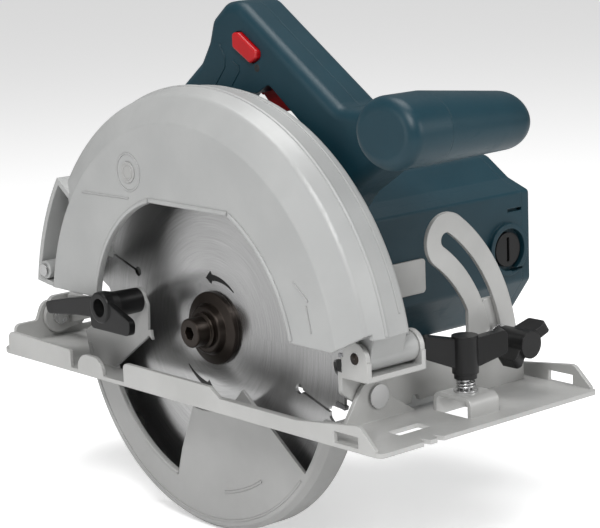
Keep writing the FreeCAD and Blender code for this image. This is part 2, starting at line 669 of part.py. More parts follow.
def motor_housing():
    y, z = s.armature_y, armature_z
    start, end = s.case_end + 0.02, s.motor_end - 5
    body = slab_x(motor_outline(0.4), start, end).cut(case_tongue(0.05))
    body = body.cut(rod_x(36.5, start - 1, 116, y, z)).cut(rod_x(30, 115, 143, y, z))
    body = body.cut(rod_x(11.02, 142, end + 1, y, z))
    lump = rod_y(13, -60.5, -50, s.brush_x, z)
    body = join(body, lump).cut(rod_y(10.5, -62, -57, s.brush_x, z))
    body = body.cut(rod_y(8.55, -62, -54.35, s.brush_x, z))
    for front, rear in ((-70, -20), (-8, 60)):
        body = body.cut(rod_y(5.6, front, rear, s.brush_x, z))
    rear_recess = rod_y(9, 26, 40, s.brush_x, z)
    body = body.cut(rear_recess)
    for hole_y, hole_z in motor_screw_places():
        body = body.cut(rod_x(2.1, start - 1, start + 60, hole_y, hole_z))
    for groove_z in (42.8, 72):
        body = body.cut(box(138, end + 1, -62, -56, groove_z - 0.8, groove_z + 0.8))
    for vent in range(5):
        vent_z = 36 + 8.5 * vent
        body = body.cut(box(52, 62, 20, 40, vent_z, vent_z + 4))
    return body


def end_cover():
    body = slab_x(motor_outline(0.4), s.motor_end - 4.98, s.motor_end)
    y, z = s.armature_y, armature_z
    rib_top = box(s.motor_end - 5, s.motor_end + 2, y - 20, y - 16, z + 20, z + 30)
    rib_low = box(s.motor_end - 5, s.motor_end + 2, y - 20, y - 16, z - 30, z - 20)
    body = join(body, rib_top, rib_low).cut(rod_y(13.05, -62, -49, s.brush_x, z))
    for level in range(-3, 4):
        slot_z = z + level * 8
        body = body.cut(box(s.motor_end - 6, s.motor_end + 1, y - 12, y + 26, slot_z - 1.6, slot_z + 1.6))
    return body


# ---------------------------------------------------------------- handles
handle_shape = [
    (-48, 72, 6), (-70, 96, 14), (-98, 114, 8), (-113, 123, 2), (-113, 136.5, 2), (-70, 136.5, 10),
    (-3, 182, 12), (7, 180.5, 8), (17, 172.5, 7), (20.5, 162, 10), (27, 152, 8), (44, 139, 14),
    (52, 118, 20), (50, 96, 10), (38, 78, 6)]
finger_gap = [
    (24, 106, 7), (30, 122, 9), (10, 139, 7), (-16, 140, 3), (-24, 144.5, 3), (-60, 118, 5), (-60, 104, 5)]
lock_outline = [
    (-1.5, 160.5, 2), (-1.5, 167.4, 2), (-6, 167.6, 2), (-19, 159.4, 1.5), (-18.6, 156.2, 1.5),
    (-13.6, 153.6, 1.5)]
lock_pocket = [
    (-1.1, 160.3, 2.4), (-1.1, 167.8, 2.4), (-6.1, 168, 2.4), (-19.5, 159.6, 1.9), (-19, 156, 1.9),
    (-13.6, 153.1, 1.9)]


def handle_body():
    outer = slab_x(handle_shape, s.handle_left, s.handle_right)

    def side_edge(edge):
        flat = max(abs(v.X - s.handle_left) for v in edge.Vertexes) < 1e-6
        other = max(abs(v.X - s.handle_right) for v in edge.Vertexes) < 1e-6
        return flat or other

    outer = soften(outer, 5.5, side_edge)
    gap = slab_x(finger_gap, s.handle_left - 1, s.handle_right + 1)
    body = outer.cut(gap)
    body = body.cut(rod_x(34.1, 10, 50, s.armature_y, armature_z))
    body = body.cut(slab_x(motor_outline(0.5), s.case_end - 8.1, 60))
    body = body.cut(box(10, 60, -60, 60, 50, 79))
    pad_clear = slab_x([(40, 10), (50, 34, 8), (38, 80, 8), (-38, 84, 8), (-60, 56)], 10, s.guard_back + 6.1)
    body = body.cut(pad_clear)
    body = body.cut(aux_barrel(0.05, s.aux_left - 1, s.aux_right + 1))
    body = body.cut(box(24.4, 38.6, -17, 14, 150, 168.5))
    body = body.cut(slab_x([(-37, 128), (-37, 150), (-30, 154), (-2, 158), (-2, 128)], 24.6, 38.4))
    body = body.cut(slab_x(lock_pocket, 10, 26))
    body = body.cut(rod_y(7.02, 40, 60, handle_mid, 104))
    return body


def aux_section(x, half_y, half_z, z):
    """Elliptic outline of the front handle across X."""
    ring = Part.Ellipse(V(0, 0, 0), half_y, half_z).toShape()
    upright = FreeCAD.Rotation(V(0, 1, 0), V(0, 0, 1), V(1, 0, 0), "XYZ")
    ring.Placement = FreeCAD.Placement(V(x, s.aux_y, z), upright)
    return Part.Wire([ring])


def aux_barrel(grow, x0, x1):
    return Part.Face(aux_section(x0, 19 + grow, 16 + grow, s.aux_z)).extrude(V(x1 - x0, 0, 0))


def handle_half(side):
    body = handle_body()
    if side == "left":
        return body.cut(box(handle_mid - 0.01, 80, -200, 200, 0, 300))
    return body.cut(box(0, handle_mid + 0.01, -200, 200, 0, 300))


def aux_handle():
    start = s.aux_cap + 0.02
    grip = Part.makeLoft([aux_section(start, 19, 16, s.aux_z),
                          aux_section(s.aux_right, 15.5, 12.5, s.aux_z - 2.5)], True)
    end = s.aux_right - 0.1
    return soften(grip, 9.5, lambda e: all(v.X > end for v in e.Vertexes) and e.Length > 50)


def aux_handle_cap():
    cap = aux_barrel(0, s.aux_left, s.aux_cap)
    end = s.aux_left + 0.1
    return soften(cap, 6, lambda e: all(v.X < end for v in e.Vertexes) and e.Length > 50)


def trigger():
    body = slab_x([(-9, 136, 2), (-15, 143, 2), (-30, 137.5), (-33, 152, 2), (-8, 155, 2), (-5, 146, 3)],
                  26.5, 36.5)
    pull = slab_x([(-8, 140, 2), (-16, 132.5, 2), (-27, 131, 2), (-33, 146, 2), (-10, 151, 2)], 26.5, 36.5)
    return join(body, pull).cut(rod_x(1.55, 20, 40, -33 + 3.5, 149))


def switch_unit():
    return box(25.2, 37.8, -14, 12, 158.4, 167.5)


def lock_button():
    cap = slab_x(lock_outline, s.handle_left - 2.5, s.handle_left + 2.5)
    outer = s.handle_left - 2.4
    return soften(cap, 1.2, lambda e: all(v.X < outer for v in e.Vertexes))


# ---------------------------------------------------------------- motor inside
def armature_shaft():
    profile = [(15, 0), (15, 4.98), (19.2, 4.98), (19.2, 3), (34, 3), (34, 6), (46, 6), (46, 7), (64, 7),
               (64, 8), (128, 8), (128, 6.5), (143, 6.5), (143, 4), (147.9, 4), (147.9, 0)]
    return turn_x(profile, s.armature_y, armature_z)


def ring_x(inner, outer, x0, x1, y, z):
    return rod_x(outer, x0, x1, y, z).cut(rod_x(inner, x0 - 1, x1 + 1, y, z))


def armature_core():
    y, z = s.armature_y, armature_z
    core = ring_x(8.02, 21.5, 66, 112, y, z)
    for tooth in range(12):
        cy, cz = polar(20.6, tooth * 30, y, z)
        core = core.cut(rod_x(1.8, 65, 113, cy, cz))
    return core


def fan():
    y, z = s.armature_y, armature_z
    hub = ring_x(7.02, 11, 49, 60, y, z)
    plate = ring_x(10, 33, 49, 50.6, y, z)
    blades = []
    for blade in range(12):
        fin = box(50.4, 58, 10, 32, -0.9, 0.9)
        fin.rotate(V(0, 0, 0), V(1, 0, 0), blade * 30)
        fin.translate(V(0, y, z))
        blades.append(fin)
    return join(hub, plate, *blades)


def field_core():
    y, z = s.armature_y, armature_z
    core = ring_x(22.5, 36, 68, 110, y, z)
    for side in (-1, 1):
        middle = y + side * 27.4
        core = core.cut(box(67, 111, middle - 5.2, middle + 5.2, z - 14, z + 14))
    return core


def field_coils():
    y, z = s.armature_y, armature_z
    coils = []
    for side in (-1, 1):
        middle = y + side * 27.4
        coils.append(box(63, 115, middle - 4.2, middle + 4.2, z - 13.8, z + 13.8))
    return Part.makeCompound(coils)


def bearing(outer, inner, x0, x1, y, z):
    """Ball bearing drawn as its two rings and the shield between them."""
    width = x1 - x0
    step = (outer - inner) * 0.28
    profile = [(x0, inner), (x1, inner), (x1, inner + step), (x1 - width * 0.12, inner + step),
               (x1 - width * 0.12, outer - step), (x1, outer - step), (x1, outer), (x0, outer),
               (x0, outer - step), (x0 + width * 0.12, outer - step), (x0 + width * 0.12, inner + step),
               (x0, inner + step)]
    return turn_x(profile, y, z)


def brush_parts(front):
    """Brush, its brass tube and its screw cap on one side of the commutator."""
    z, x = armature_z, s.brush_x
    y_commutator = s.armature_y + (-12.35 if front else 12.35)
    out = -1 if front else 1
    limit = -58.4 if front else 30.4
    start, end = sorted((y_commutator + out * 14, limit - out * 4.2))
    tube = rod_y(5.58, start, end, x, z).cut(box(x - 3.05, x + 3.05, start - 1, end + 1, z - 3.05, z + 3.05))
    b0, b1 = sorted((y_commutator, y_commutator + out * 15))
    carbon = box(x - 3, x + 3, b0, b1, z - 3, z + 3)
    c0, c1 = sorted((limit - out * 4, limit + out * 0.9))
    cap = rod_y(8.5, c0, c1, x, z) if front else rod_y(8.5, c0 + 0.2, c1, x, z)
    slot_y = c0 if front else c1 - 1.5
    cap = cap.cut(box(x - 0.9, x + 0.9, slot_y - 0.1, slot_y + 1.6, z - 6, z + 6))
    return tube, carbon, cap


# ---------------------------------------------------------------- build every sub-part
keep("base_plate", base_plate())
keep("bevel_quadrant", bevel_quadrant())
keep("front_pivot_rivet", rivet(s.ear_front, plate_back, s.bevel_x, s.bevel_z))
keep("rear_pivot_rivet", rivet(s.base_rear, rear_plate_front, s.bevel_x, s.bevel_z))
keep("front_tilt_bracket", front_tilt_bracket())
keep("rear_tilt_bracket", rear_tilt_bracket())
keep("depth_guide_arm", depth_guide_arm())

pin = cylinder("hinge_pin_shank", (1, 0, 0), (s.channel_left, s.hinge_y, s.hinge_z),
               "Sizes.hinge_pin_radius - 0.02", "Sizes.channel_right - Sizes.channel_left + 0.5")
pin_head = cylinder("hinge_pin_head", (1, 0, 0), (s.channel_right + 0.02, s.hinge_y, s.hinge_z),
                    "Sizes.hinge_pin_radius + 1.2", "1.4")
fused("hinge_pin", [pin, pin_head])

# fence clamp: wing knob with a screw over a spring
fence_top = 11.02
fence_knob = placed(wing_knob(17, 6, 19, 9), (s.fence_screw_x, s.fence_line, 19.5), (0, 0, 1), 150)
keep("fence_knob", fence_knob)
keep("fence_screw", rod_z(2.5, 8.8, 33, s.fence_screw_x, s.fence_line))
keep("fence_washer", rod_z(5.6, fence_top, fence_top + 1, s.fence_screw_x, s.fence_line).cut(
    rod_z(2.9, 10, 14, s.fence_screw_x, s.fence_line)))
keep("fence_spring", coil(3.9, 0.5, 3.4, 2.5, (s.fence_screw_x, s.fence_line, fence_top + 1.6)))

# bevel clamp
bolt_head = rod_y(6, plate_back + 0.02, plate_back + 3, bolt_x, bolt_z)
keep("bevel_bolt", join(bolt_head, rod_y(2.5, -118, plate_back + 1, bolt_x, bolt_z)))
washer_front = s.ear_front - 0.4
keep("bevel_washer", rod_y(6.5, washer_front - 1, washer_front, bolt_x, bolt_z).cut(
    rod_y(2.9, washer_front - 2, washer_front + 1, bolt_x, bolt_z)))
keep("bevel_knob", placed(wing_knob(17, 6.4, 13, 10), (bolt_x, washer_front - 4, bolt_z), (0, -1, 0), 35))

# blade, spindle and armature
keep("saw_blade", saw_blade())
keep("carbide_tips", carbide_tips())
keep("inner_flange", inner_flange())
keep("outer_flange", outer_flange())
keep("blade_bolt", blade_bolt())
keep("spindle", spindle())
keep("spindle_gear", spindle_gear())
keep("armature_shaft", armature_shaft())
keep("armature_pinion", pinion())
keep("armature_core", armature_core())
keep("armature_fan", fan())
keep("commutator", ring_x(6.52, 12, 129, 142, s.armature_y, armature_z))

# guards
keep("lower_guard", lower_guard())
keep("guard_lever_knob", guard_lever_knob())
keep("guard_lever_screw", lever_screw())
keep("guard_return_spring", return_spring())
keep("upper_guard", upper_guard())
keep("guard_badge", rod_x(4.98, -23.9, -22.6, *badge_place()))
keep("chip_port_screw", join(rod_x(1.78, -22.8, -15, 107, 47.5), rod_x(3.2, -24.4, -22.8, 107, 47.5)))
screws = [rod_x(1.88, s.guard_back - s.guard_wall, s.guard_back + 4, y, z) for y, z in guard_screw_places()]
keep("guard_screws", Part.makeCompound(screws))

# casings
keep("gear_housing", gear_housing())
keep("motor_housing", motor_housing())
keep("motor_end_cover", end_cover())
keep("motor_screws", Part.makeCompound(
    [rod_x(1.88, s.case_end - 7, s.case_end + 50, y, z) for y, z in motor_screw_places()]))
keep("spindle_front_bearing", bearing(16, 7.52, 5.6, 13.9, 0, s.spindle_z))
keep("spindle_rear_bearing", bearing(9, 5.02, 33.2, 42, 0, s.spindle_z))
keep("armature_front_bearing", bearing(14, 6.02, 35.8, 43.8, s.armature_y, armature_z))
keep("armature_rear_bearing", bearing(11, 4.02, 143.2, 147.8, s.armature_y, armature_z))
keep("field_core", field_core())
keep("field_coils", field_coils())
brush_sets = zip(brush_parts(True), brush_parts(False))
for node, pair in zip(("brush_tubes", "carbon_brushes", "brush_caps"), brush_sets):
    keep(node, Part.makeCompound(pair))

# handles and controls
keep("handle_left_half", handle_half("left"))
keep("handle_right_half", handle_half("right"))
keep("aux_handle", aux_handle())
keep("aux_handle_cap", aux_handle_cap())
keep("trigger", trigger())
keep("trigger_pin", rod_x(1.5, 24.62, 38.38, -29.5, 149))
keep("switch_unit", switch_unit())
keep("lock_button", lock_button())
keep("cord_inlet", rod_y(7, 44, 62, handle_mid, 104).cut(rod_y(3.6, 43, 63, handle_mid, 104)))

# depth clamp
lever = join(rod_x(8, 15.2, 21, clamp_y, clamp_z),
             slab_x([(clamp_y, clamp_z + 7.5), (clamp_y + 42, clamp_z + 22, 4), (clamp_y + 45, clamp_z + 12, 4),
                     (clamp_y + 2, clamp_z - 7.5)], 17, 21))
keep("depth_lever", lever.cut(rod_x(2.55, 10, 30, clamp_y, clamp_z)))
keep("depth_clamp_bolt", join(rod_x(2.48, s.guard_back - s.guard_wall + 1, 24, clamp_y, clamp_z),
                              rod_x(4.5, 21.4, 24.4, clamp_y, clamp_z)))

doc.recompute()
bad = [node for node, thing in nodes.items()
       if "Invalid" in thing.State or "Error" in thing.State
       or thing.Shape.isNull() or not thing.Shape.isValid()]
if bad:
    raise RuntimeError("bad shapes: " + ", ".join(bad))
for node, thing in nodes.items():
    thing.Shape.exportStep("parts/" + node + ".step")
print(len(nodes), "sub-parts written")
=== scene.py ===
# %% [markdown]
# # A hand-held circular saw
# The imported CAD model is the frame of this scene. It has the true sizes and the joints, so
# nothing here moves it. The lesson gives each part its finish, and adds the beads, lips,
# rings and printed arrows that a solid model leaves out.

# %% Load the frame
import bmesh
import bpy
import json
import math
from mathutils import Matrix, Vector


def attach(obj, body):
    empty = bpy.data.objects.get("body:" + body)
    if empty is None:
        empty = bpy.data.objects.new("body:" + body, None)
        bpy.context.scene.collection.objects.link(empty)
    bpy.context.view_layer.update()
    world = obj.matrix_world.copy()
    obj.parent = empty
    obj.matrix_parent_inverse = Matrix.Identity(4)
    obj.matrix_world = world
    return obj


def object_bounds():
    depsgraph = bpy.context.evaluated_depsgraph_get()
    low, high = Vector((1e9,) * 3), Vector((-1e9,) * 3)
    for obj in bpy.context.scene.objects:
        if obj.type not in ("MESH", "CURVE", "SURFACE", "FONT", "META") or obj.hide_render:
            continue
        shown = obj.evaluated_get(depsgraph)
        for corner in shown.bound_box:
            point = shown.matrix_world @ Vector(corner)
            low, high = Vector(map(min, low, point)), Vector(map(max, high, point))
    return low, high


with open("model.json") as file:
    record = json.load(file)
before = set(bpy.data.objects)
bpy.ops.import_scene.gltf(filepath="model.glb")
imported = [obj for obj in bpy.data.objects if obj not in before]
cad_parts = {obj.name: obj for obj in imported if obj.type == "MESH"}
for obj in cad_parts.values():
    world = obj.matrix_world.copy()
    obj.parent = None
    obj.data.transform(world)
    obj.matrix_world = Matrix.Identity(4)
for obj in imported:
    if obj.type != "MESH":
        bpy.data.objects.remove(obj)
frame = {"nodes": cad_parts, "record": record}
cad_low, cad_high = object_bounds()
nodes = frame["nodes"]
print(len(nodes), "CAD nodes, box", [round(v, 3) for v in (*cad_low, *cad_high)])

# %% [markdown]
# ## Camera
# A long lens keeps the saw's lines nearly parallel, so its proportions read true. The camera
# stands in front of the saw on its blade side, a little above it, and leans by two degrees.
# Its axes are worked out from the three angles, which is plainer than a track constraint.

# %% Camera
CAMERA_PLACE = (-0.58355, -0.73851, 0.25104)
LENS = 122.98
SENSOR_WIDTH = 36
yaw, pitch, lean = math.radians(-40.77), math.radians(11.55), math.radians(-2.18)
back = Vector((math.sin(yaw) * math.cos(pitch), -math.cos(yaw) * math.cos(pitch), math.sin(pitch)))
level_right = (-back).cross(Vector((0, 0, 1))).normalized()
level_up = level_right.cross(-back)
right = math.cos(lean) * level_right + math.sin(lean) * level_up
up = math.cos(lean) * level_up - math.sin(lean) * level_right
camera = bpy.data.objects.new("camera", bpy.data.cameras.new("camera"))
bpy.context.scene.collection.objects.link(camera)
axes = Matrix((right, up, back)).transposed().to_4x4()
camera.matrix_world = Matrix.Translation(CAMERA_PLACE) @ axes
camera.data.sensor_fit = "HORIZONTAL"
camera.data.sensor_width = SENSOR_WIDTH
camera.data.lens = LENS
bpy.context.scene.camera = camera
print("lens", camera.data.lens, "mm")

# %% [markdown]
# ## Studio
# A white world, a pale floor just under the lowest point of the blade guard, and four large
# soft lamps. The paper of the floor glows a little towards the camera, so that it stays white.
# The camera sees the world at full white, but it lights the saw at about a quarter of that,
# so the lamps shape the metal. The key lamp over the camera's shoulder draws the bright band
# on the guard's rim, and the overhead one lifts the handles from the background.

# %% Floor
FLOOR_HALF = 6
PAPER_GLOW = 0.42
floor_height = cad_low.z - 0.0005
floor_mesh = bpy.data.meshes.new("floor")
floor_form = bmesh.new()
bmesh.ops.create_grid(floor_form, x_segments=1, y_segments=1, size=FLOOR_HALF)
bmesh.ops.translate(floor_form, verts=floor_form.verts, vec=(0, 0, floor_height))
floor_form.to_mesh(floor_mesh)
floor_form.free()
floor = bpy.data.objects.new("floor", floor_mesh)
bpy.context.scene.collection.objects.link(floor)
paper = bpy.data.materials.new("studio_paper")
paper.use_nodes = True
paper_shader = paper.node_tree.nodes["Principled BSDF"]
paper_shader.inputs["Base Color"].default_value = (0.93, 0.93, 0.93, 1)
paper_shader.inputs["Roughness"].default_value = 0.9
paper_shader.inputs["Emission Color"].default_value = (1.0, 1.0, 1.0, 1)
paper_glow = paper.node_tree.nodes.new("ShaderNodeLightPath")
paper_level = paper.node_tree.nodes.new("ShaderNodeMath")
paper_level.operation = "MULTIPLY"
paper_level.inputs[1].default_value = PAPER_GLOW
paper.node_tree.links.new(paper_glow.outputs["Is Camera Ray"], paper_level.inputs[0])
paper.node_tree.links.new(paper_level.outputs["Value"], paper_shader.inputs["Emission Strength"])
floor_mesh.materials.append(paper)
print("floor at z", round(floor_height, 4))

# %% World and lamps
SKY_ON_SAW = 0.27
SKY_SEEN = 1.0
LAMP_AIM = Vector((0.03, 0.0, 0.06))
world = bpy.data.worlds.new("studio")
bpy.context.scene.world = world
world.use_nodes = True
sky = world.node_tree.nodes["Background"]
sky.inputs["Color"].default_value = (1.0, 1.0, 1.0, 1)
seen_by = world.node_tree.nodes.new("ShaderNodeLightPath")
level = world.node_tree.nodes.new("ShaderNodeMapRange")
level.inputs["To Min"].default_value = SKY_ON_SAW
level.inputs["To Max"].default_value = SKY_SEEN
world.node_tree.links.new(seen_by.outputs["Is Camera Ray"], level.inputs["Value"])
world.node_tree.links.new(level.outputs["Result"], sky.inputs["Strength"])
bpy.context.scene.view_settings.view_transform = "Standard"


def soft_lamp(name, place, size, watts):
    lamp = bpy.data.lights.new(name, "AREA")
    lamp.shape = "RECTANGLE"
    lamp.size, lamp.size_y = size
    lamp.energy = watts
    holder = bpy.data.objects.new(name, lamp)
    bpy.context.scene.collection.objects.link(holder)
    holder.location = place
    aim = LAMP_AIM - Vector(place)
    holder.rotation_euler = aim.to_track_quat("-Z", "Y").to_euler()


soft_lamp("key_lamp", (-0.75, -0.75, 1.05), (0.5, 0.5), 13)
soft_lamp("side_lamp", (-1.3, 0.3, 0.35), (0.5, 0.9), 4)
soft_lamp("front_lamp", (0.7, -1.4, 0.6), (0.7, 0.7), 7)
soft_lamp("top_lamp", (0.15, 0.1, 1.3), (0.7, 0.7), 9)
print("four lamps")

# %% [markdown]
# ## Shader groups
# Four effects make up most of the finishes, so each is a group with its own inputs:
# rounded edges with a mask for a painted edge highlight, fine grain, handling marks, and the rings that a
# lathe leaves.


# %% Group helper
def shader_group(name, inputs, outputs):
    group = bpy.data.node_groups.new(name, "ShaderNodeTree")
    for label, kind, value in inputs:
        socket = group.interface.new_socket(label, in_out="INPUT", socket_type=kind)
        if value is not None:
            socket.default_value = value
    for label, kind in outputs:
        group.interface.new_socket(label, in_out="OUTPUT", socket_type=kind)
    return group, group.nodes.new("NodeGroupInput"), group.nodes.new("NodeGroupOutput")


def put(tree, kind, settings=None, **values):
    """A node with its settings and the given input values."""
    node = tree.nodes.new(kind)
    for name, value in (settings or {}).items():
        setattr(node, name, value)
    for name, value in values.items():
        node.inputs[name.replace("_", " ")].default_value = value
    return node


def calculate(tree, operation, first, second):
    node = tree.nodes.new("ShaderNodeMath")
    node.operation = operation
    for socket, value in zip(node.inputs, (first, second)):
        if isinstance(value, (int, float)):
            socket.default_value = value
        else:
            tree.links.new(value, socket)
    return node.outputs["Value"]


def ramp(tree, source, low, high):
    node = tree.nodes.new("ShaderNodeMapRange")
    node.interpolation_type = "SMOOTHSTEP"
    node.inputs["From Min"].default_value = low
    node.inputs["From Max"].default_value = high
    tree.links.new(source, node.inputs["Value"])
    return node.outputs["Result"]


print("helpers ready")

# %% [markdown]
# Edges first. Nothing made of metal or plastic has a perfectly sharp edge: it is rounded by
# the die. The Bevel node gives the rounded normal without changing the mesh, and the angle between
# that normal and the flat one marks the edge, where the finishes paint a lighter colour as a highlight.

# %% Rounded edges and the mask for a painted edge highlight
edge_group, edge_in, edge_out = shader_group(
    "rounded_edge",
    [("Radius", "NodeSocketFloat", 0.0005)],
    [("Normal", "NodeSocketVector"), ("Edge", "NodeSocketFloat")])
round_off = put(edge_group, "ShaderNodeBevel", {"samples": 4})
facing = put(edge_group, "ShaderNodeNewGeometry")
align = put(edge_group, "ShaderNodeVectorMath", {"operation": "DOT_PRODUCT"})
edge_group.links.new(edge_in.outputs["Radius"], round_off.inputs["Radius"])
edge_group.links.new(round_off.outputs["Normal"], align.inputs[0])
edge_group.links.new(facing.outputs["Normal"], align.inputs[1])
edge_group.links.new(round_off.outputs["Normal"], edge_out.inputs["Normal"])
edge_mask = ramp(edge_group, calculate(edge_group, "SUBTRACT", 1.0, align.outputs["Value"]), 0.03, 0.3)
edge_group.links.new(edge_mask, edge_out.inputs["Edge"])
print(edge_group.name)

# %% [markdown]
# Grain is what keeps a surface from looking like a drawing. Cast paint has a fine orange
# peel, moulded plastic has a spark-eroded grain, and sheet steel is mottled. One group makes
# them all: a fine noise for the height, and a broad, weak one for the tint.

# %% Grain
grain_group, grain_in, grain_out = shader_group(
    "surface_grain",
    [("Vector", "NodeSocketVector", None), ("Scale", "NodeSocketFloat", 900.0),
     ("Patches", "NodeSocketFloat", 25.0)],
    [("Height", "NodeSocketFloat"), ("Tint", "NodeSocketFloat")])
fine = put(grain_group, "ShaderNodeTexNoise", Detail=3.0, Roughness=0.6)
broad = put(grain_group, "ShaderNodeTexNoise", Detail=4.0, Roughness=0.55)
for noise, source in ((fine, "Scale"), (broad, "Patches")):
    grain_group.links.new(grain_in.outputs["Vector"], noise.inputs["Vector"])
    grain_group.links.new(grain_in.outputs[source], noise.inputs["Scale"])
grain_group.links.new(fine.outputs["Fac"], grain_out.inputs["Height"])
grain_group.links.new(ramp(grain_group, broad.outputs["Fac"], 0.3, 0.7), grain_out.inputs["Tint"])
print(grain_group.name)

# %% [markdown]
# Handling leaves smudges and hairline scratches that only show in the gloss, so this group
# puts out a mask for the roughness and nothing for the colour.

# %% Handling marks
marks_group, marks_in, marks_out = shader_group(
    "handling_marks",
    [("Vector", "NodeSocketVector", None), ("Amount", "NodeSocketFloat", 0.5)],
    [("Mask", "NodeSocketFloat")])
smudge = put(marks_group, "ShaderNodeTexNoise", Scale=38.0, Detail=5.0, Roughness=0.7, Distortion=0.8)
stretch = put(marks_group, "ShaderNodeMapping")
stretch.inputs["Rotation"].default_value = (0.4, 0.7, 0.3)
stretch.inputs["Scale"].default_value = (1.0, 24.0, 1.0)
hairline = put(marks_group, "ShaderNodeTexNoise", Scale=60.0, Detail=2.0)
marks_group.links.new(marks_in.outputs["Vector"], smudge.inputs["Vector"])
marks_group.links.new(marks_in.outputs["Vector"], stretch.inputs["Vector"])
marks_group.links.new(stretch.outputs["Vector"], hairline.inputs["Vector"])
lines = ramp(marks_group, hairline.outputs["Fac"], 0.66, 0.72)
both = calculate(marks_group, "MAXIMUM", ramp(marks_group, smudge.outputs["Fac"], 0.45, 0.75), lines)
marks_group.links.new(calculate(marks_group, "MULTIPLY", both, marks_in.outputs["Amount"]),
                      marks_out.inputs["Mask"])
print(marks_group.name)

# %% [markdown]
# A turned or ground face carries rings round its axis. The blade and the shafts of this saw
# turn about lines along X, so the group measures the distance from such a line and makes the
# rings from a noise that only knows that distance and a little of the angle.

# %% Lathe rings
rings_group, rings_in, rings_out = shader_group(
    "lathe_rings",
    [("Vector", "NodeSocketVector", None), ("Density", "NodeSocketFloat", 2500.0)],
    [("Height", "NodeSocketFloat"), ("Tint", "NodeSocketFloat")])
parts = put(rings_group, "ShaderNodeSeparateXYZ")
rings_group.links.new(rings_in.outputs["Vector"], parts.inputs["Vector"])
across = calculate(rings_group, "MULTIPLY", parts.outputs["Y"], parts.outputs["Y"])
upward = calculate(rings_group, "MULTIPLY", parts.outputs["Z"], parts.outputs["Z"])
radius = calculate(rings_group, "SQRT", calculate(rings_group, "ADD", across, upward), 0.0)
angle = calculate(rings_group, "ARCTAN2", parts.outputs["Z"], parts.outputs["Y"])
dense = calculate(rings_group, "MULTIPLY", radius, rings_in.outputs["Density"])
ring_place = put(rings_group, "ShaderNodeCombineXYZ")
rings_group.links.new(dense, ring_place.inputs["X"])
rings_group.links.new(calculate(rings_group, "MULTIPLY", angle, 1.5), ring_place.inputs["Y"])
ring_noise = put(rings_group, "ShaderNodeTexNoise", Scale=1.0, Detail=3.0, Roughness=0.7)
rings_group.links.new(ring_place.outputs["Vector"], ring_noise.inputs["Vector"])
rings_group.links.new(ring_noise.outputs["Fac"], rings_out.inputs["Height"])
rings_group.links.new(ramp(rings_group, ring_noise.outputs["Fac"], 0.35, 0.65), rings_out.inputs["Tint"])
print(rings_group.name)

# %% [markdown]
# ## Finishes
# Every painted, moulded or plated finish is built the same way round: a colour that drifts a
# little from patch to patch, a lighter colour painted on the edges as a highlight, a grain that feeds
# the bump, and a roughness that the marks disturb.


# %% One recipe for the plain finishes
MARKS_AMOUNT = 0.15


def place_group(tree, group, **values):
    node = tree.nodes.new("ShaderNodeGroup")
    node.node_tree = group
    for name, value in values.items():
        node.inputs[name].default_value = value
    return node


def blend_colours(tree, factor, first, second):
    mix = tree.nodes.new("ShaderNodeMix")
    mix.data_type = "RGBA"
    colour_inputs = [socket for socket in mix.inputs if socket.type == "RGBA"]
    tree.links.new(factor, mix.inputs[0])
    for socket, value in zip(colour_inputs, (first, second)):
        if isinstance(value, tuple):
            socket.default_value = (*value, 1)
        else:
            tree.links.new(value, socket)
    return [socket for socket in mix.outputs if socket.type == "RGBA"][0]


def finish(name, colour, patch_colour, edge_highlight_colour, roughness, metallic=0.0, grain=900.0,
           depth=0.00002, radius=0.0005, edge_highlight_amount=0.6, shine=0.5):
    material = bpy.data.materials.new(name)
    material.use_nodes = True
    tree = material.node_tree
    shader = tree.nodes["Principled BSDF"]
    shader.inputs["Metallic"].default_value = metallic
    shader.inputs["Specular IOR Level"].default_value = shine
    where = tree.nodes.new("ShaderNodeTexCoord").outputs["Object"]
    surface = place_group(tree, grain_group, Scale=grain)
    handled = place_group(tree, marks_group, Amount=MARKS_AMOUNT)
    edge = place_group(tree, edge_group, Radius=radius)
    for node in (surface, handled):
        tree.links.new(where, node.inputs["Vector"])
    patched = blend_colours(tree, surface.outputs["Tint"], colour, patch_colour)
    # Painted highlight: the edge mask lightens the colour towards the edge colour, in place of the light
    # that a rounded edge catches.
    edge_highlight_mask = calculate(tree, "MULTIPLY", edge.outputs["Edge"], edge_highlight_amount)
    tree.links.new(blend_colours(tree, edge_highlight_mask, patched, edge_highlight_colour), shader.inputs["Base Color"])
    rough = calculate(tree, "ADD", handled.outputs["Mask"], roughness)
    tree.links.new(rough, shader.inputs["Roughness"])
    bump = put(tree, "ShaderNodeBump", Strength=1.0, Distance=depth)
    tree.links.new(surface.outputs["Height"], bump.inputs["Height"])
    tree.links.new(edge.outputs["Normal"], bump.inputs["Normal"])
    tree.links.new(bump.outputs["Normal"], shader.inputs["Normal"])
    return material


print("recipe ready")

# %% [markdown]
# The base and its brackets are zinc-plated sheet: pale, a little metallic, never mirror-like.
# The guards and the gear case are die castings under silver-grey paint, which hides the metal.

